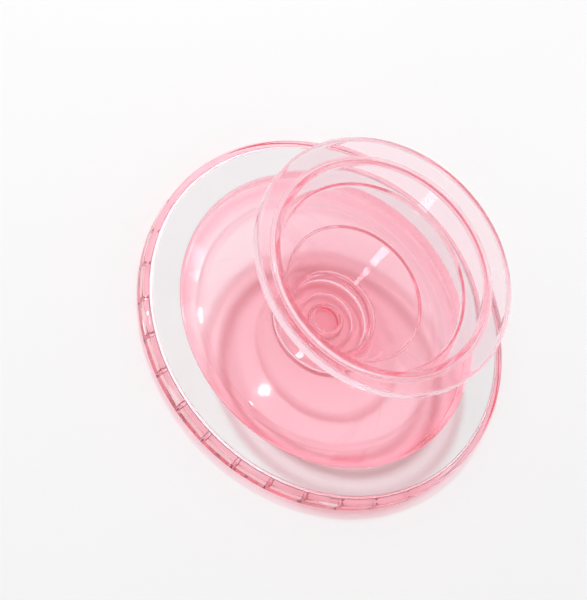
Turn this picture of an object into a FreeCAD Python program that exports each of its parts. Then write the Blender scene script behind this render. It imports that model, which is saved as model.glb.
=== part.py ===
import FreeCAD, Part
import math
import os

# Driving dimensions in millimetres

# Base: a clear one-piece moulding with a shallow dish inside a ring-shaped magnet channel
BASE_RADIUS = 29.4          # outside of the clear rim
RIM_WIDTH = 0.9             # clear wall between the magnets and the outside
RIM_LIP = 0.5               # rim's inward lip over the edge of the magnet ring
CHANNEL_WIDTH = 4.8         # radial width of the magnet channel
CHANNEL_FLOOR = 0.4         # clear skin under the magnets
DISH_FLOOR = 0.4            # thickness of the dish's floor
DISH_RUN = 3.1              # radial run of the dish's sloping wall
LIP_LAND = 0.35             # flat top of the dish's lip
LIP_PROUD = 0.10            # lip above the white cover
RIM_PROUD = 0.05            # rim above the white cover
RIM_BEVEL = 0.30            # broken upper edge of the rim

# Snap post in the middle of the dish, a short tube with a head
POST_BORE = 2.0             # radius of the blind hole in the post
POST_WALL = 0.5             # wall of the tube
POST_FLOOR = 0.25           # clear skin under the blind hole
HEAD_PROUD = 0.25           # head beyond the tube
HEAD_HEIGHT = 0.35

# Soft pad under the base
PAD_THICKNESS = 0.3
PAD_INSET = 0.5             # pad's edge inside the rim's outside

# Magnet ring moulded in, its magnets parted by short ribs, and what closes it
MAGNET_COUNT = 32
MAGNET_THICKNESS = 1.5
RIB_THICKNESS = 0.3         # clear rib between two magnets
RIB_LENGTH = 1.6            # rib's reach inwards from the channel's outer wall
RIB_ROOT = 0.15             # rib's end and foot sunk in the channel's wall and floor
YOKE_THICKNESS = 0.3
COVER_THICKNESS = 0.35

# Accordion: one thin soft funnel with a straight band at each fold
FOOT_RADIUS = 8.2
FOOT_THICKNESS = 0.7
FOOT_EDGE = 0.5             # straight edge of the foot, on the dish's floor
SEAT_WIDTH = 1.6            # round seat in the foot, about the head of the post
SEAT_THICKNESS = 0.4        # foot under the head
WAIST_RADIUS = 6.9
WAIST_RISE = 2.8            # waist above the dish's floor
MID_STEP = 4.2              # middle fold wider than the waist
MID_RISE = 6.8
WIDE_STEP = 4.2             # widest fold wider than the middle one
WIDE_RISE = 6.0
TOP_STEP = 1.6              # funnel's rim wider than the widest fold
TOP_RISE = 4.3              # disc's underside above the widest fold
WALL = 0.8                  # radial thickness of the funnel
BAND_HEIGHT = 0.8

# Socket ring under the disc, about the funnel's rim
RING_WALL = 0.6
RING_HEIGHT = 1.0

# Disc that the fingers hold
DISC_OVERHANG = 2.45        # disc beyond the socket ring
DISC_THICKNESS = 2.0
DISC_BEVEL = 0.5

# Clearances
RUNNING = 0.05              # between pieces that turn or slide on each other
FIT = 0.05                  # between pieces that are glued or dropped in

# Heights, from the pad's underside upwards
pad_top = PAD_THICKNESS
channel_z = pad_top + CHANNEL_FLOOR
magnet_top = channel_z + MAGNET_THICKNESS
yoke_top = magnet_top + YOKE_THICKNESS
cover_top = yoke_top + COVER_THICKNESS
rim_top = cover_top + RIM_PROUD
lip_top = cover_top + LIP_PROUD
dish_z = pad_top + DISH_FLOOR
foot_z = dish_z + RUNNING
seat_top = foot_z + SEAT_THICKNESS
foot_top = foot_z + FOOT_THICKNESS
head_z = seat_top + RUNNING
post_top = head_z + HEAD_HEIGHT
waist_z = dish_z + WAIST_RISE
mid_z = waist_z + MID_RISE
wide_z = mid_z + WIDE_RISE
disc_z = wide_z + TOP_RISE
disc_top = disc_z + DISC_THICKNESS
funnel_top = disc_z - FIT
ring_z = disc_z - RING_HEIGHT

# Radii, from the outside of the base and from the axis
channel_outer = BASE_RADIUS - RIM_WIDTH
channel_inner = channel_outer - CHANNEL_WIDTH
recess_outer = channel_outer - RIM_LIP
lip_inner = channel_inner - LIP_LAND
dish_radius = lip_inner - DISH_RUN
post_radius = POST_BORE + POST_WALL
head_radius = post_radius + HEAD_PROUD
foot_bore = post_radius + RUNNING
seat_radius = foot_bore + SEAT_WIDTH
mid_radius = WAIST_RADIUS + MID_STEP
wide_radius = mid_radius + WIDE_STEP
top_radius = wide_radius + TOP_STEP
ring_inner = top_radius + FIT
ring_outer = ring_inner + RING_WALL
disc_radius = ring_outer + DISC_OVERHANG

AXIS_POINT = FreeCAD.Vector(0, 0, 0)
AXIS = FreeCAD.Vector(0, 0, 1)


def turned(corners):
    """Solid turned about the axis from the (radius, height) corners of its section."""
    points = [FreeCAD.Vector(radius, 0, height) for radius, height in corners]
    section = Part.Face(Part.makePolygon(points + points[:1]))
    return section.revolve(AXIS_POINT, AXIS, 360)


def plain_ring(inner, outer, bottom, top):
    """Ring of rectangular section."""
    return turned([
        (inner, bottom),
        (outer, bottom),
        (outer, top),
        (inner, top),
    ])


def round_pattern(shape):
    """Copies of a shape at every magnet's turn round the axis."""
    copies = []
    for index in range(MAGNET_COUNT):
        copy = shape.copy()
        copy.rotate(AXIS_POINT, AXIS, 360.0 * index / MAGNET_COUNT)
        copies.append(copy)
    return copies


def first_rib():
    """Rib towards -Y on the channel's outer wall, between the outer ends of two magnets."""
    length = RIB_LENGTH + RIB_ROOT
    height = MAGNET_THICKNESS + RIB_ROOT
    corner = FreeCAD.Vector(-RIB_THICKNESS / 2, -channel_outer - RIB_ROOT, channel_z - RIB_ROOT)
    return Part.makeBox(RIB_THICKNESS, length, height, corner)


def base_housing():
    """Clear moulding: rim, channel with the magnets' ribs, dish and snap post in one piece."""
    body = turned([
        (0, pad_top),
        (BASE_RADIUS, pad_top),
        (BASE_RADIUS, rim_top - RIM_BEVEL),
        (BASE_RADIUS - RIM_BEVEL, rim_top),
        (recess_outer, rim_top),
        (recess_outer, yoke_top),
        (channel_outer, yoke_top),
        (channel_outer, channel_z),
        (channel_inner, channel_z),
        (channel_inner, lip_top),
        (lip_inner, lip_top),
        (dish_radius, dish_z),
        (post_radius, dish_z),
        (post_radius, head_z),
        (head_radius, head_z),
        (head_radius, post_top),
        (POST_BORE, post_top),
        (POST_BORE, pad_top + POST_FLOOR),
        (0, pad_top + POST_FLOOR),
    ])
    return body.fuse(round_pattern(first_rib())).removeSplitter()


def contact_pad():
    """Soft round pad under the base."""
    radius = BASE_RADIUS - PAD_INSET
    return Part.makeCylinder(radius, PAD_THICKNESS, AXIS_POINT, AXIS)


def first_magnet():
    """Flat-sided magnet whose middle lies half a pitch past -Y, so that a rib faces -Y."""
    pitch = 2 * math.pi / MAGNET_COUNT
    middle = -math.pi / 2 + pitch / 2
    half = pitch / 2 - math.asin((RIB_THICKNESS / 2 + FIT) / channel_inner)
    inner = (channel_inner + FIT) / math.cos(half)
    outer = channel_outer - FIT
    corners = []
    for radius, angle in ((inner, -half), (outer, -half), (outer, half), (inner, half)):
        turn = middle + angle
        corners.append(FreeCAD.Vector(radius * math.cos(turn), radius * math.sin(turn), channel_z))
    outline = Part.makePolygon(corners + corners[:1])
    return Part.Face(outline).extrude(AXIS * MAGNET_THICKNESS)


def magnet_yoke():
    """Thin steel ring on the magnets that turns their field downwards."""
    return plain_ring(channel_inner + FIT, channel_outer - FIT, magnet_top, yoke_top)


def magnet_cover():
    """White ring that closes the channel."""
    return plain_ring(channel_inner + FIT, recess_outer - FIT, yoke_top, cover_top)


def accordion():
    """Soft funnel: foot on the post, banded folds that widen upwards, and a rim."""
    section = [
        (foot_bore, foot_z),
        (FOOT_RADIUS, foot_z),
        (FOOT_RADIUS, foot_z + FOOT_EDGE),
    ]
    for radius, height in ((WAIST_RADIUS, waist_z), (mid_radius, mid_z), (wide_radius, wide_z)):
        section += [
            (radius, height - BAND_HEIGHT / 2),
            (radius, height + BAND_HEIGHT / 2),
        ]
    section += [
        (top_radius, ring_z),
        (top_radius, funnel_top),
        (top_radius - WALL, funnel_top),
        (wide_radius - WALL, wide_z),
        (mid_radius - WALL, mid_z),
        (WAIST_RADIUS - WALL, waist_z),
        (WAIST_RADIUS - WALL, foot_top),
        (seat_radius, foot_top),
        (seat_radius, seat_top),
        (foot_bore, seat_top),
    ]
    return turned(section)


def socket_ring():
    """Ring under the disc that the funnel's rim sits in."""
    return plain_ring(ring_inner, ring_outer, ring_z, disc_z)


def top_disc():
    """Clear flat disc with broken edges."""
    return turned([
        (0, disc_z),
        (disc_radius - DISC_BEVEL, disc_z),
        (disc_radius, disc_z + DISC_BEVEL),
        (disc_radius, disc_top - DISC_BEVEL),
        (disc_radius - DISC_BEVEL, disc_top),
        (0, disc_top),
    ])


parts = {
    "base_housing": base_housing(),
    "contact_pad": contact_pad(),
    "magnet_yoke": magnet_yoke(),
    "magnet_cover": magnet_cover(),
    "accordion": accordion(),
    "socket_ring": socket_ring(),
    "top_disc": top_disc(),
}
for number, magnet in enumerate(round_pattern(first_magnet()), start=1):
    parts[f"magnet_{number:02d}"] = magnet

os.makedirs("parts", exist_ok=True)
for name, shape in parts.items():
    shape.exportStep(f"parts/{name}.step")
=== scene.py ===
import math

import bmesh
import bpy
from mathutils import Matrix, Vector


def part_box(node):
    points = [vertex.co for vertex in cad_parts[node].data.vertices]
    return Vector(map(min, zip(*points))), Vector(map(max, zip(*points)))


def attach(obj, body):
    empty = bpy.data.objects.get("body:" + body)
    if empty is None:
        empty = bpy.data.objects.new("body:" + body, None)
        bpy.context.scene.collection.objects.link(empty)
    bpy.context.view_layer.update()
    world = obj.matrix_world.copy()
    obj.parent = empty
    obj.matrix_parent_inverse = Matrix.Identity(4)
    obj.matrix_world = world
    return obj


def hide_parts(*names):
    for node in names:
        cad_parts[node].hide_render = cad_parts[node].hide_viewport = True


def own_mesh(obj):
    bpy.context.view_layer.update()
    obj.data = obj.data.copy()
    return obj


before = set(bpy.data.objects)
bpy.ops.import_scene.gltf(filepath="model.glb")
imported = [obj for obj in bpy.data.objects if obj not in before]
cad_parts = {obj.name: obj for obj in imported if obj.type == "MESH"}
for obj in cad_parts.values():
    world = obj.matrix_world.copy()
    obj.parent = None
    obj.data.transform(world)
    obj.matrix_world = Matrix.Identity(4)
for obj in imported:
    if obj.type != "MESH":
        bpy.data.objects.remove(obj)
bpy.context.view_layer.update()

MM = 0.001

# Details of the base that the CAD parts' boxes don't give
RIM_WIDTH = 0.9 * MM
RIM_PROUD = 0.05 * MM
RIM_LIP = 0.5 * MM
CHANNEL_WIDTH = 4.8 * MM
CHANNEL_FLOOR = 0.4 * MM
HUG = 0.2 * MM               # channel's outer wall taken in, so that it grips the magnets and yoke
RIB_THICKNESS = 0.3 * MM
RIB_LENGTH = 1.6 * MM
RIB_ROOT = 0.15 * MM
RIB_COUNT = 32
LIP_LAND = 0.35 * MM
DISH_RUN = 3.1 * MM
DISH_FLOOR = 0.4 * MM
BEAD_WIDTH = 1.1 * MM
BEAD_HEIGHT = 0.28 * MM
POST_BORE = 2.0 * MM
POST_WALL = 0.5 * MM
POST_FLOOR = 0.25 * MM
HEAD_PROUD = 0.25 * MM
HEAD_HEIGHT = 0.35 * MM

# Details of the accordion and its socket ring
SEAT_WIDTH = 1.6 * MM
SEAT_THICKNESS = 0.4 * MM
FOOT_RADIUS = 8.2 * MM
FOOT_THICKNESS = 0.7 * MM
FOOT_EDGE = 0.5 * MM
WAIST_RADIUS = 6.9 * MM
MID_STEP = 4.2 * MM
WIDE_STEP = 4.2 * MM
WAIST_RISE = 2.8 * MM
MID_RISE = 6.8 * MM
WIDE_RISE = 6.0 * MM
WALL = 0.8 * MM
BAND_HEIGHT = 0.8 * MM
RING_WALL = 0.6 * MM

# Room between pieces
RUNNING = 0.05 * MM
SEAM = 0.02 * MM             # air left between clear faces that lie on others

# Roundings of the base
RIM_FOOT_ROUND = 0.25 * MM
RIM_ROUND = 0.4 * MM
LAND_ROUND = 0.12 * MM       # edges beside the cover
LIP_ROUND = 0.2 * MM
SLOPE_ROUND = 0.05 * MM      # foot of the dish's slope
BEAD_ROUND = 0.5 * MM
BEAD_END_ROUND = 0.1 * MM
POST_ROOT_ROUND = 0.15 * MM
HEAD_UNDER_ROUND = 0.08 * MM
HEAD_ROUND = 0.12 * MM
BORE_ROUND = 0.02 * MM
COVER_ROUND = 0.04 * MM
PAD_ROUND = 0.1 * MM
METAL_ROUND = 0.1 * MM       # edges of the magnets and yoke
METAL_STEPS = 2
METAL_WELD = 0.001 * MM      # reach within which the faces' own corners become one

# Roundings of the accordion, socket ring and disc
SEAT_ROUND = 0.1 * MM
FOOT_ROUND = 0.15 * MM
FOOT_TOP_ROUND = 0.2 * MM
FOOT_INSIDE_ROUND = 0.3 * MM
BAND_ROUND = 0.39 * MM
INNER_FOLD_ROUND = 0.6 * MM
SHOULDER_ROUND = 0.3 * MM    # where the funnel enters the socket ring
MOUTH_ROUND = 0.1 * MM
MOUTH_INSIDE_ROUND = 0.2 * MM
RING_ROUND = 0.27 * MM
DISC_BOTTOM_ROUND = 0.35 * MM
DISC_TOP_ROUND = 0.3 * MM

# Where the second tint of a clear piece shows: painted shade in the post's bore, a painted
# highlight on the disc's edge
UNDERSIDE_SHADE = 0.55       # share of painted shade under the post
POST_SHADE = 0.15            # share of painted shade on the post
BORE_EDGE = 0.05 * MM        # height of the bore's wall that counts as its floor
DISC_HIGHLIGHT_EDGE = 0.4 * MM         # width of the disc's edge that takes the painted highlight

# Meshes
SEGMENTS = 256               # steps round a turned piece
ARC_STEPS = 6                # steps along a rounded corner
LONGEST_TANGENT = 0.45       # share of a side that a rounding may take
FADE = 0.3 * MM              # reach of a rounded corner's bend into the flats beside it
SHARP = math.radians(35)     # faces that meet at more than this keep an edge
ON_AXIS = 1e-9               # radius below which a point lies on the axis


def rounded(before, corner, after, radius):
    """Points of a rounded corner of a section, its tangents no longer than its sides allow."""
    to_before = before - corner
    to_after = after - corner
    half = to_before.angle(to_after) / 2
    shorter = min(to_before.length, to_after.length)
    reach = min(radius / math.tan(half), LONGEST_TANGENT * shorter)
    radius = reach * math.tan(half)
    inwards = (to_before.normalized() + to_after.normalized()).normalized()
    middle = corner + inwards * (radius / math.sin(half))
    first = corner + to_before.normalized() * reach - middle
    last = corner + to_after.normalized() * reach - middle
    sweep = first.angle_signed(last)
    turns = [Matrix.Rotation(-sweep * step / ARC_STEPS, 2) for step in range(ARC_STEPS + 1)]
    return [middle + turn @ first for turn in turns]


def outline(corners):
    """Section from (radius, height, rounding) corners, as points with their bend.

    The bend is 1 on roundings and 0 on flats.
    """
    points = [Vector((radius, height)) for radius, height, _ in corners]
    arcs = []
    for index, (_, _, rounding) in enumerate(corners):
        before = points[index - 1]
        after = points[(index + 1) % len(points)]
        if rounding > 0:
            arc = rounded(before, points[index], after, rounding)
            arcs.append([(point, 1) for point in arc])
        else:
            arcs.append([(points[index], 0)])
    section = []
    for arc, following in zip(arcs, arcs[1:] + arcs[:1]):
        section += arc
        start = arc[-1][0]
        flat = following[0][0] - start
        if flat.length > 3 * FADE:
            step = flat.normalized() * FADE
            section += [(start + step, 0), (start + flat - step, 0)]
    return section


def nowhere(radius, height):
    """No share of the second tint."""
    return 0


def everywhere(radius, height):
    """The second tint alone."""
    return 1


def turned(name, corners, depth=nowhere):
    """Mesh object turned about Z from its section's corners, with the solid on their left.

    Depth gives the share of the material's second tint at a radius and height.
    """
    rings = []
    vertices = []
    bends = []
    depths = []
    for (radius, height), bend in outline(corners):
        first = len(vertices)
        if radius < ON_AXIS:
            vertices.append((0, 0, height))
            bends.append(bend)
            depths.append(depth(0, height))
            rings.append([first] * SEGMENTS)
            continue
        for step in range(SEGMENTS):
            angle = 2 * math.pi * step / SEGMENTS
            vertices.append((radius * math.cos(angle), radius * math.sin(angle), height))
            bends.append(bend)
            depths.append(depth(radius, height))
        rings.append(range(first, first + SEGMENTS))
    faces = []
    for lower, upper in zip(rings, rings[1:] + rings[:1]):
        for step in range(SEGMENTS):
            following = (step + 1) % SEGMENTS
            quad = (lower[step], lower[following], upper[following], upper[step])
            face = tuple(dict.fromkeys(quad))
            if len(face) > 2:
                faces.append(face)
    mesh = bpy.data.meshes.new(name)
    mesh.from_pydata(vertices, [], faces)
    mesh.attributes.new("bend", "FLOAT", "POINT").data.foreach_set("value", bends)
    mesh.attributes.new("depth", "FLOAT", "POINT").data.foreach_set("value", depths)
    mesh.shade_smooth()
    mesh.set_sharp_from_angle(angle=SHARP)
    piece = bpy.data.objects.new(name, mesh)
    bpy.context.scene.collection.objects.link(piece)
    return piece


def ribs(low, high):
    """Object with a block between two corners, repeated round the axis; one of them faces -Y."""
    shape = bmesh.new()
    size = Vector(high) - Vector(low)
    middle = (Vector(high) + Vector(low)) / 2
    place = Matrix.Translation(middle) @ Matrix.Diagonal((*size, 1))
    for step in range(RIB_COUNT):
        turn = Matrix.Rotation(2 * math.pi * step / RIB_COUNT - math.pi / 2, 4, "Z")
        bmesh.ops.create_cube(shape, size=1, matrix=turn @ place)
    mesh = bpy.data.meshes.new("ribs")
    shape.to_mesh(mesh)
    shape.free()
    return bpy.data.objects.new("ribs", mesh)


def join(piece, other):
    """Makes one closed mesh of a piece and what runs into it."""
    bpy.context.scene.collection.objects.link(other)
    union = piece.modifiers.new("union", "BOOLEAN")
    union.operation = "UNION"
    union.solver = "EXACT"
    union.object = other
    whole = piece.evaluated_get(bpy.context.evaluated_depsgraph_get())
    joined = bpy.data.meshes.new_from_object(whole)
    piece.modifiers.clear()
    piece.data = joined
    joined.set_sharp_from_angle(angle=SHARP)
    bpy.data.objects.remove(other)


def dress(piece, node, body, material):
    """The piece stands for a CAD node of a body and takes a material."""
    piece.data.materials.append(material)
    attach(piece, body)
    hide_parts(node)


def reach(node):
    """Outer radius, lowest and highest point of a turned CAD node."""
    low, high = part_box(node)
    return high.x, low.z, high.z


# Shader helpers

USUAL_LOW = 0.3              # usual spread of a noise's factor
USUAL_HIGH = 0.7
SMEARED = 1.15               # power that deepens a clear tint where it is smeared


def new_material(name):
    """Material with its node tree, Principled shader and output."""
    material = bpy.data.materials.new(name)
    material.use_nodes = True
    tree = material.node_tree
    shader = tree.nodes["Principled BSDF"]
    output = tree.nodes["Material Output"]
    return material, tree.nodes, tree.links, shader, output


def noise(nodes, links, scale, detail, stretch=(1, 1, 1)):
    """Noise over the piece's own metres; returns its factor."""
    place = nodes.new("ShaderNodeTexCoord")
    mapping = nodes.new("ShaderNodeMapping")
    mapping.inputs["Scale"].default_value = stretch
    texture = nodes.new("ShaderNodeTexNoise")
    texture.inputs["Scale"].default_value = scale
    texture.inputs["Detail"].default_value = detail
    links.new(place.outputs["Object"], mapping.inputs["Vector"])
    links.new(mapping.outputs["Vector"], texture.inputs["Vector"])
    return texture.outputs["Fac"]


def ranged(nodes, links, factor, low, high):
    """Factor mapped from its usual spread to low and high."""
    mapped = nodes.new("ShaderNodeMapRange")
    mapped.inputs["From Min"].default_value = USUAL_LOW
    mapped.inputs["From Max"].default_value = USUAL_HIGH
    mapped.inputs["To Min"].default_value = low
    mapped.inputs["To Max"].default_value = high
    links.new(factor, mapped.inputs["Value"])
    return mapped.outputs["Result"]


def worked(nodes, links, operation, *values):
    """Result of a sum on sockets or numbers."""
    sum_node = nodes.new("ShaderNodeMath")
    sum_node.operation = operation
    for socket, value in zip(sum_node.inputs, values):
        if isinstance(value, (int, float)):
            socket.default_value = value
        else:
            links.new(value, socket)
    return sum_node.outputs["Value"]


def tinted(nodes, links, factor, dark, light):
    """Colour between two by a factor."""
    ramp = nodes.new("ShaderNodeValToRGB")
    ramp.color_ramp.elements[0].position = USUAL_LOW
    ramp.color_ramp.elements[0].color = (*dark, 1)
    ramp.color_ramp.elements[1].position = USUAL_HIGH
    ramp.color_ramp.elements[1].color = (*light, 1)
    links.new(factor, ramp.inputs["Fac"])
    return ramp.outputs["Color"]


def mixed(nodes, links, factor):
    """Colour mix steered by a factor."""
    mix = nodes.new("ShaderNodeMix")
    mix.data_type = "RGBA"
    links.new(factor, mix.inputs["Factor"])
    return mix


def attribute(nodes, name):
    """Factor that the mesh holds under a name."""
    held = nodes.new("ShaderNodeAttribute")
    held.attribute_name = name
    return held.outputs["Fac"]


def bumped(nodes, links, factor, depth, shader):
    """Bump of a depth in metres on a shader's normal."""
    bump = nodes.new("ShaderNodeBump")
    bump.inputs["Strength"].default_value = 1.0
    bump.inputs["Distance"].default_value = depth
    links.new(factor, bump.inputs["Height"])
    links.new(bump.outputs["Normal"], shader.inputs["Normal"])


# Materials

def clear_pink(name, tint, second, loss, flat, bent, refraction, roughness, wave):
    """Clear plastic tinted at its surface, with a loss of red, green and blue in each metre inside.

    The second tint, which the pieces use for painted shade and a painted highlight, takes over
    where the mesh's depth is 1.
    Flat and bent are the shares of lamp light that pass straight through a flat face and a
    rounded edge.
    """
    material, nodes, links, shader, output = new_material(name)
    shader.inputs["Transmission Weight"].default_value = 1.0
    shader.inputs["IOR"].default_value = refraction
    smear = noise(nodes, links, scale=240, detail=6)
    smeared = [share ** SMEARED for share in tint]
    surface = mixed(nodes, links, attribute(nodes, "depth"))
    surface.inputs["B"].default_value = (*second, 1)
    links.new(tinted(nodes, links, smear, smeared, tint), surface.inputs["A"])
    links.new(surface.outputs["Result"], shader.inputs["Base Color"])
    links.new(ranged(nodes, links, smear, *roughness), shader.inputs["Roughness"])
    bumped(nodes, links, noise(nodes, links, scale=120, detail=2), wave, shader)

    # Lamp light goes straight on, less of it at rounded edges, which bend it aside
    passing = mixed(nodes, links, attribute(nodes, "bend"))
    passing.inputs["A"].default_value = (*flat, 1)
    passing.inputs["B"].default_value = (*bent, 1)
    through = nodes.new("ShaderNodeBsdfTransparent")
    links.new(passing.outputs["Result"], through.inputs["Color"])
    path = nodes.new("ShaderNodeLightPath")
    shadow, diffuse = path.outputs["Is Shadow Ray"], path.outputs["Is Diffuse Ray"]
    unseen = worked(nodes, links, "MAXIMUM", shadow, diffuse)
    mix = nodes.new("ShaderNodeMixShader")
    links.new(unseen, mix.inputs["Fac"])
    links.new(shader.outputs["BSDF"], mix.inputs[1])
    links.new(through.outputs["BSDF"], mix.inputs[2])
    links.new(mix.outputs["Shader"], output.inputs["Surface"])

    density = max(loss)
    absorb = nodes.new("ShaderNodeVolumeAbsorption")
    absorb.inputs["Color"].default_value = (*(1 - share / density for share in loss), 1)
    absorb.inputs["Density"].default_value = density
    links.new(absorb.outputs["Volume"], output.inputs["Volume"])
    return material


def white_satin():
    """Opaque white plastic with a fine moulded grain."""
    material, nodes, links, shader, _ = new_material("white_satin")
    cloud = noise(nodes, links, scale=90, detail=3)
    colour = tinted(nodes, links, cloud, dark=(0.81, 0.80, 0.805), light=(0.84, 0.83, 0.835))
    links.new(colour, shader.inputs["Base Color"])
    links.new(ranged(nodes, links, cloud, low=0.38, high=0.5), shader.inputs["Roughness"])
    bumped(nodes, links, noise(nodes, links, scale=5000, detail=2), 0.004 * MM, shader)
    return material


# Painted shade, dark red, on the magnets' ends beside the ribs
RIB_SHADE_REACH = 0.055           # painted shade this far from a rib's middle, in shares of the ribs' pitch
RIB_SHADE_END = 0.075         # no painted shade from here on
RIB_SHADE_RADIUS = 27.0 * MM    # inside this the plate has no painted shade beside the ribs
# colour of the painted shade beside the ribs
RIB_SHADE_COLOUR = (0.5, 0.05, 0.12)


def nickel():
    """Bright plated magnet faces, slightly mottled, with dark red painted shade on their ends
    beside the ribs.
    """
    material, nodes, links, shader, _ = new_material("nickel_plate")
    place = nodes.new("ShaderNodeTexCoord")
    parts = nodes.new("ShaderNodeSeparateXYZ")
    links.new(place.outputs["Object"], parts.inputs["Vector"])
    x, y = parts.outputs["X"], parts.outputs["Y"]
    turn = worked(nodes, links, "ARCTAN2", y, x)
    pitches = worked(nodes, links, "MULTIPLY", turn, RIB_COUNT / (2 * math.pi))
    rib = worked(nodes, links, "ROUND", pitches)
    aside = worked(nodes, links, "ABSOLUTE", worked(nodes, links, "SUBTRACT", pitches, rib))
    unshaded = nodes.new("ShaderNodeMapRange")
    unshaded.inputs["From Min"].default_value = RIB_SHADE_REACH
    unshaded.inputs["From Max"].default_value = RIB_SHADE_END
    links.new(aside, unshaded.inputs["Value"])
    x_squared = worked(nodes, links, "POWER", x, 2.0)
    y_squared = worked(nodes, links, "POWER", y, 2.0)
    squared = worked(nodes, links, "ADD", x_squared, y_squared)
    outside = worked(nodes, links, "SQRT", squared)
    inward = worked(nodes, links, "LESS_THAN", outside, RIB_SHADE_RADIUS)
    unshaded_plate = worked(nodes, links, "MAXIMUM", unshaded.outputs["Result"], inward)
    cloud = noise(nodes, links, scale=700, detail=4)
    # Painted shade on the ends beside the ribs, the mottled plate elsewhere
    plate = mixed(nodes, links, unshaded_plate)
    plate.inputs["A"].default_value = (*RIB_SHADE_COLOUR, 1)
    colour = tinted(nodes, links, cloud, dark=(0.95, 0.86, 0.85), light=(1.0, 0.92, 0.91))
    links.new(colour, plate.inputs["B"])
    links.new(plate.outputs["Result"], shader.inputs["Base Color"])
    shader.inputs["Metallic"].default_value = 1.0
    links.new(ranged(nodes, links, cloud, low=0.04, high=0.1), shader.inputs["Roughness"])
    bumped(nodes, links, noise(nodes, links, scale=2500, detail=3), 0.001 * MM, shader)
    return material


def rolled_steel():
    """Thin sheet steel with fine rolling lines."""
    material, nodes, links, shader, _ = new_material("rolled_steel")
    lines = noise(nodes, links, scale=300, detail=5, stretch=(0.05, 12, 1))
    colour = tinted(nodes, links, lines, dark=(0.5, 0.42, 0.43), light=(0.58, 0.49, 0.5))
    links.new(colour, shader.inputs["Base Color"])
    shader.inputs["Metallic"].default_value = 1.0
    links.new(ranged(nodes, links, lines, low=0.5, high=0.65), shader.inputs["Roughness"])
    bumped(nodes, links, lines, 0.001 * MM, shader)
    return material


def silicone():
    """Soft whitish pad, faintly mottled."""
    material, nodes, links, shader, _ = new_material("pad_silicone")
    cloud = noise(nodes, links, scale=150, detail=4)
    colour = tinted(nodes, links, cloud, dark=(0.95, 0.94, 0.945), light=(0.97, 0.96, 0.965))
    links.new(colour, shader.inputs["Base Color"])
    links.new(ranged(nodes, links, cloud, low=0.45, high=0.6), shader.inputs["Roughness"])
    bumped(nodes, links, noise(nodes, links, scale=3000, detail=2), 0.004 * MM, shader)
    return material


def pale_floor():
    """Plain pale ground, very faintly uneven."""
    material, nodes, links, shader, _ = new_material("pale_floor")
    cloud = noise(nodes, links, scale=6, detail=2)
    colour = tinted(nodes, links, cloud, dark=(0.935, 0.932, 0.935), light=(0.945, 0.942, 0.945))
    links.new(colour, shader.inputs["Base Color"])
    shader.inputs["Roughness"].default_value = 0.75
    return material


# The disc's second tint, almost clear, is a painted highlight on the disc's edge; the socket ring
# takes it all over
disc_pink = clear_pink(
    "clear_pink_disc",
    tint=(1, 0.878, 0.908),
    second=(1, 0.985, 0.99),
    loss=(0.3, 7, 5),
    flat=(1, 0.845, 0.872),
    bent=(0.75, 0.35, 0.4),
    refraction=1.5,
    roughness=(0.005, 0.02),
    wave=0.002 * MM,
)
# The funnel's second tint is painted shade, deepest at the foot and fading up to the widest fold
funnel_pink = clear_pink(
    "clear_pink_funnel",
    tint=(1, 0.985, 0.99),
    second=(0.96, 0.76, 0.8),
    loss=(0.3, 22, 16),
    flat=(0.995, 0.95, 0.96),
    bent=(0.7, 0.25, 0.31),
    refraction=1.48,
    roughness=(0.01, 0.03),
    wave=0.003 * MM,
)
# The base's second tint is painted shade on the floor of the post's bore, with a share on the post,
# and fades outwards on the underside
base_pink = clear_pink(
    "clear_pink_base",
    tint=(1, 0.92, 0.94),
    second=(0.87, 0.31, 0.4),
    loss=(0.3, 75, 56),
    flat=(0.995, 0.97, 0.975),
    bent=(0.95, 0.8, 0.83),
    refraction=1.5,
    roughness=(0.005, 0.03),
    wave=0.003 * MM,
)
white = white_satin()


# Pieces

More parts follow.
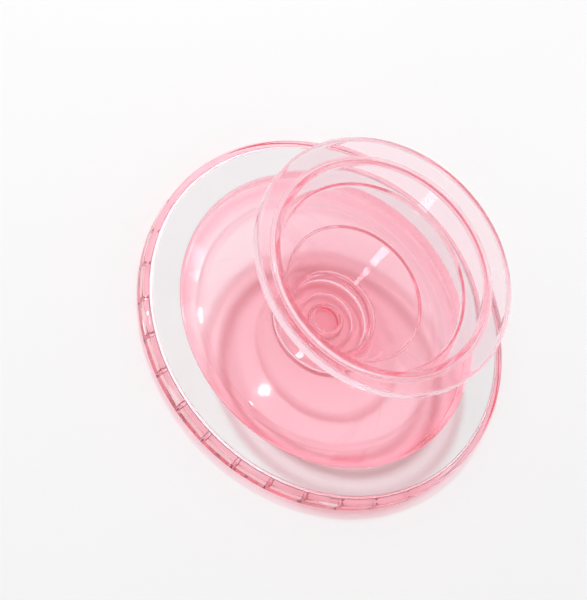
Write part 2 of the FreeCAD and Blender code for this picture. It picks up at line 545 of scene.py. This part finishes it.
def base_pieces():
    """Clear housing, white cover and pad."""
    rim, bottom, lip_top = reach("base_housing")
    _, cover_z, cover_top = reach("magnet_cover")
    rim_top = cover_top + RIM_PROUD
    channel_outer = rim - RIM_WIDTH
    recess_outer = channel_outer - RIM_LIP
    channel_inner = channel_outer - CHANNEL_WIDTH
    lip_inner = channel_inner - LIP_LAND
    dish_radius = lip_inner - DISH_RUN
    channel_z = bottom + CHANNEL_FLOOR
    dish_z = bottom + DISH_FLOOR
    post = POST_BORE + POST_WALL
    head = post + HEAD_PROUD
    head_z = dish_z + RUNNING + SEAT_THICKNESS + RUNNING
    post_top = head_z + HEAD_HEIGHT
    bore_z = bottom + POST_FLOOR

    def painted_bore_shade(radius, height):
        """Painted shade: all of the second tint on the bore's floor, a share on the post and under
        it.
        """
        if radius > head + SEAM:
            return 0
        if height < bottom + SEAM:
            return UNDERSIDE_SHADE
        return 1 if height < bore_z + BORE_EDGE else POST_SHADE

    housing = turned("housing", [
        (0, bottom, 0),
        (rim, bottom, RIM_FOOT_ROUND),
        (rim, rim_top, RIM_ROUND),
        (recess_outer, rim_top, LAND_ROUND),
        (recess_outer, cover_z + SEAM, 0),
        (channel_outer - HUG, cover_z + SEAM, 0),
        (channel_outer - HUG, channel_z, 0),
        (channel_inner, channel_z, 0),
        (channel_inner, lip_top, LAND_ROUND),
        (lip_inner, lip_top, LIP_ROUND),
        (dish_radius, dish_z, SLOPE_ROUND),
        (dish_radius - BEAD_WIDTH / 2, dish_z + BEAD_HEIGHT, BEAD_ROUND),
        (dish_radius - BEAD_WIDTH, dish_z, BEAD_END_ROUND),
        (post, dish_z, POST_ROOT_ROUND),
        (post, head_z, 0),
        (head, head_z, HEAD_UNDER_ROUND),
        (head, post_top, HEAD_ROUND),
        (POST_BORE, post_top, HEAD_ROUND),
        (POST_BORE, bore_z, BORE_ROUND),
        (0, bore_z, 0),
    ], painted_bore_shade)
    _, _, magnet_top = reach("magnet_01")
    low = (channel_outer - RIB_LENGTH, -RIB_THICKNESS / 2, channel_z - RIB_ROOT)
    high = (channel_outer + RIB_ROOT, RIB_THICKNESS / 2, magnet_top)
    join(housing, ribs(low, high))
    dress(housing, "base_housing", "base", base_pink)

    cover = turned("cover", [
        (channel_inner + SEAM / 2, cover_z + SEAM, 0),
        (recess_outer - SEAM / 2, cover_z + SEAM, 0),
        (recess_outer - SEAM / 2, cover_top, COVER_ROUND),
        (channel_inner + SEAM / 2, cover_top, COVER_ROUND),
    ])
    cover.visible_shadow = False    # the clear rim leads light round it
    dress(cover, "magnet_cover", "base", white)

    pad_radius, pad_z, pad_top = reach("contact_pad")
    pad = turned("pad", [
        (0, pad_z, 0),
        (pad_radius, pad_z, PAD_ROUND),
        (pad_radius, pad_top - SEAM, PAD_ROUND),
        (0, pad_top - SEAM, 0),
    ])
    dress(pad, "contact_pad", "base", silicone())


def funnel_piece():
    """Soft accordion, standing open; nothing here flattens it as the disc comes down."""
    top, foot_z, funnel_top = reach("accordion")
    _, ring_z, _ = reach("socket_ring")
    dish_z = foot_z - RUNNING
    foot_bore = POST_BORE + POST_WALL + RUNNING
    seat = foot_bore + SEAT_WIDTH
    seat_top = foot_z + SEAT_THICKNESS
    foot_top = foot_z + FOOT_THICKNESS
    waist_z = dish_z + WAIST_RISE
    mid = WAIST_RADIUS + MID_STEP
    mid_z = waist_z + MID_RISE
    wide = mid + WIDE_STEP
    wide_z = mid_z + WIDE_RISE
    band = BAND_HEIGHT / 2
    folds = ((WAIST_RADIUS, waist_z), (mid, mid_z), (wide, wide_z))

    def painted_foot_shade(radius, height):
        """Painted shade: the second tint grows from the widest fold down to the waist."""
        return min(1, max(0, (wide_z - height) / (wide_z - waist_z)))

    section = [
        (foot_bore, foot_z, SEAT_ROUND),
        (FOOT_RADIUS, foot_z, FOOT_ROUND),
        (FOOT_RADIUS, foot_z + FOOT_EDGE, FOOT_TOP_ROUND),
    ]
    for radius, height in folds:
        section += [(radius, height - band, BAND_ROUND), (radius, height + band, BAND_ROUND)]
    section += [
        (top, ring_z, SHOULDER_ROUND),
        (top, funnel_top, MOUTH_ROUND),
        (top - WALL, funnel_top, MOUTH_INSIDE_ROUND),
    ]
    for radius, height in reversed(folds):
        section.append((radius - WALL, height, INNER_FOLD_ROUND))
    section += [
        (WAIST_RADIUS - WALL, foot_top, FOOT_INSIDE_ROUND),
        (seat, foot_top, SEAT_ROUND),
        (seat, seat_top, SEAT_ROUND),
        (foot_bore, seat_top, SEAT_ROUND),
    ]
    funnel = turned("funnel", section, painted_foot_shade)
    dress(funnel, "accordion", "grip", funnel_pink)
    height = funnel_top - foot_z
    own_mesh(funnel)


def top_pieces():
    """Socket ring and the disc that the fingers hold."""
    outer, ring_z, ring_top = reach("socket_ring")
    inner = outer - RING_WALL
    ring = turned("ring", [
        (inner, ring_z, RING_ROUND),
        (outer, ring_z, RING_ROUND),
        (outer, ring_top - SEAM, RING_ROUND),
        (inner, ring_top - SEAM, RING_ROUND),
    ], everywhere)
    dress(ring, "socket_ring", "top", disc_pink)

    edge, disc_z, disc_top = reach("top_disc")

    def painted_edge_highlight(radius, height):
        """Painted highlight: the almost clear second tint on the disc's edge."""
        return 1 if radius > edge - DISC_HIGHLIGHT_EDGE else 0

    disc = turned("disc", [
        (0, disc_z, 0),
        (edge, disc_z, DISC_BOTTOM_ROUND),
        (edge, disc_top, DISC_TOP_ROUND),
        (0, disc_top, 0),
    ], painted_edge_highlight)
    dress(disc, "top_disc", "top", disc_pink)


def metal_pieces():
    """Magnets and yoke keep their solids and get softened edges and metal."""
    plate = nickel()
    steel = rolled_steel()
    for name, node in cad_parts.items():
        if name.startswith("magnet_") and name != "magnet_cover":
            node.data.materials.clear()
            node.data.materials.append(steel if name == "magnet_yoke" else plate)
            welded = node.modifiers.new("welded", "WELD")
            welded.merge_threshold = METAL_WELD
            softened = node.modifiers.new("softened", "BEVEL")
            softened.width = METAL_ROUND
            softened.segments = METAL_STEPS
            softened.limit_method = "ANGLE"
            node.visible_shadow = False    # the clear rim leads light round it


base_pieces()
funnel_piece()
top_pieces()
metal_pieces()


# Floor, light and camera

FLOOR_RADIUS = 3.0
FLOOR_STEPS = 64

# Shares of the plain light level
KEY_SHARE = 0.58
WINDOW_SHARE = 0.0007
FRONT_SHARE = 0.015
ROOM_SHARE = 0.4

# Camera as fitted to the photograph's rings, in its 587 by 600 pixels
PHOTO_WIDTH = 587
PHOTO_HEIGHT = 600
FOCAL_PIXELS = 2400
CENTRE_PIXEL = (320.4, 324.6)    # middle of the pad's underside
DISTANCE = 358.1 * MM
TILT = math.radians(34.97)       # between the grip's axis and the line of sight
ROLL = math.radians(46.2)
SENSOR = 36                      # width in millimetres
NEAREST = 0.01                   # start of the view in metres

# Steps of light in clear pieces, which lead it round by many reflections
BOUNCES = 96
CLEAR_LAYERS = 32


def floor():
    """Round pale floor just under the pad."""
    mesh = bpy.data.meshes.new("floor")
    ring = [2 * math.pi * step / FLOOR_STEPS for step in range(FLOOR_STEPS)]
    corners = [(FLOOR_RADIUS * math.cos(a), FLOOR_RADIUS * math.sin(a), -SEAM) for a in ring]
    mesh.from_pydata(corners, [], [range(FLOOR_STEPS)])
    ground = bpy.data.objects.new("floor", mesh)
    bpy.context.scene.collection.objects.link(ground)
    mesh.materials.append(pale_floor())


def area_light(name, direction, distance, width, depth, share):
    """Oval soft lamp aimed at the grip; share is the part of the plain light level it gives."""
    towards = Vector(direction).normalized()
    data = bpy.data.lights.new(name, "AREA")
    data.shape = "ELLIPSE"
    data.size = width
    data.size_y = depth
    data.energy = math.pi ** 2 * share * distance ** 2 / towards.z
    lamp = bpy.data.objects.new(name, data)
    lamp.location = towards * distance
    lamp.rotation_mode = "QUATERNION"
    lamp.rotation_quaternion = towards.to_track_quat("Z", "Y")
    bpy.context.scene.collection.objects.link(lamp)


def room():
    """Pale room that gives a share of the light, and shows white to the eye, in gloss and glass."""
    world = bpy.data.worlds.new("room")
    world.use_nodes = True
    nodes = world.node_tree.nodes
    links = world.node_tree.links
    path = nodes.new("ShaderNodeLightPath")
    seen = path.outputs["Is Camera Ray"]
    for name in ("Is Glossy Ray", "Is Transmission Ray"):
        seen = worked(nodes, links, "MAXIMUM", seen, path.outputs[name])
    level = nodes.new("ShaderNodeMapRange")
    level.inputs["To Min"].default_value = ROOM_SHARE
    level.inputs["To Max"].default_value = 1.0
    links.new(seen, level.inputs["Value"])
    links.new(level.outputs["Result"], nodes["Background"].inputs["Strength"])
    nodes["Background"].inputs["Color"].default_value = (1, 1, 1, 1)
    bpy.context.scene.world = world


def studio():
    """Key from above and behind, two small lamps that glint in the clear walls, and a pale room."""
    area_light("key", direction=(-0.32, 0.255, 1), distance=0.7,
               width=0.055, depth=0.055, share=KEY_SHARE)
    area_light("window", direction=(0.022, 0.646, 1), distance=8.0,
               width=0.012, depth=0.012, share=WINDOW_SHARE)
    area_light("front", direction=(0.226, -0.958, 0.25), distance=1.5,
               width=0.3, depth=0.14, share=FRONT_SHARE)
    room()


def camera():
    """Camera at the photograph's viewing angle, with the grip's axis leaning to the upper right."""
    right = Vector((math.cos(ROLL), math.sin(ROLL), 0))
    lean = math.sin(TILT)
    axis = Vector((lean * math.sin(ROLL), -lean * math.cos(ROLL), -math.cos(TILT)))
    part_axes = Matrix((right, axis.cross(right), axis))
    offset_x = (CENTRE_PIXEL[0] - PHOTO_WIDTH / 2) / FOCAL_PIXELS
    offset_y = (CENTRE_PIXEL[1] - PHOTO_HEIGHT / 2) / FOCAL_PIXELS
    centre = Vector((offset_x, offset_y, 1)) * DISTANCE
    image_to_camera = Matrix.Diagonal((1, -1, -1))
    turn = (part_axes @ image_to_camera).to_4x4()
    data = bpy.data.cameras.new("camera")
    data.sensor_width = SENSOR
    data.lens = data.sensor_width * FOCAL_PIXELS / max(PHOTO_WIDTH, PHOTO_HEIGHT)
    data.clip_start = NEAREST
    view = bpy.data.objects.new("camera", data)
    view.matrix_world = Matrix.Translation(-(part_axes @ centre)) @ turn
    bpy.context.scene.collection.objects.link(view)
    bpy.context.scene.camera = view


floor()
studio()
camera()

scene = bpy.context.scene
scene.view_settings.view_transform = "Standard"
scene.cycles.max_bounces = BOUNCES
scene.cycles.glossy_bounces = BOUNCES
scene.cycles.transmission_bounces = BOUNCES
scene.cycles.transparent_max_bounces = CLEAR_LAYERS
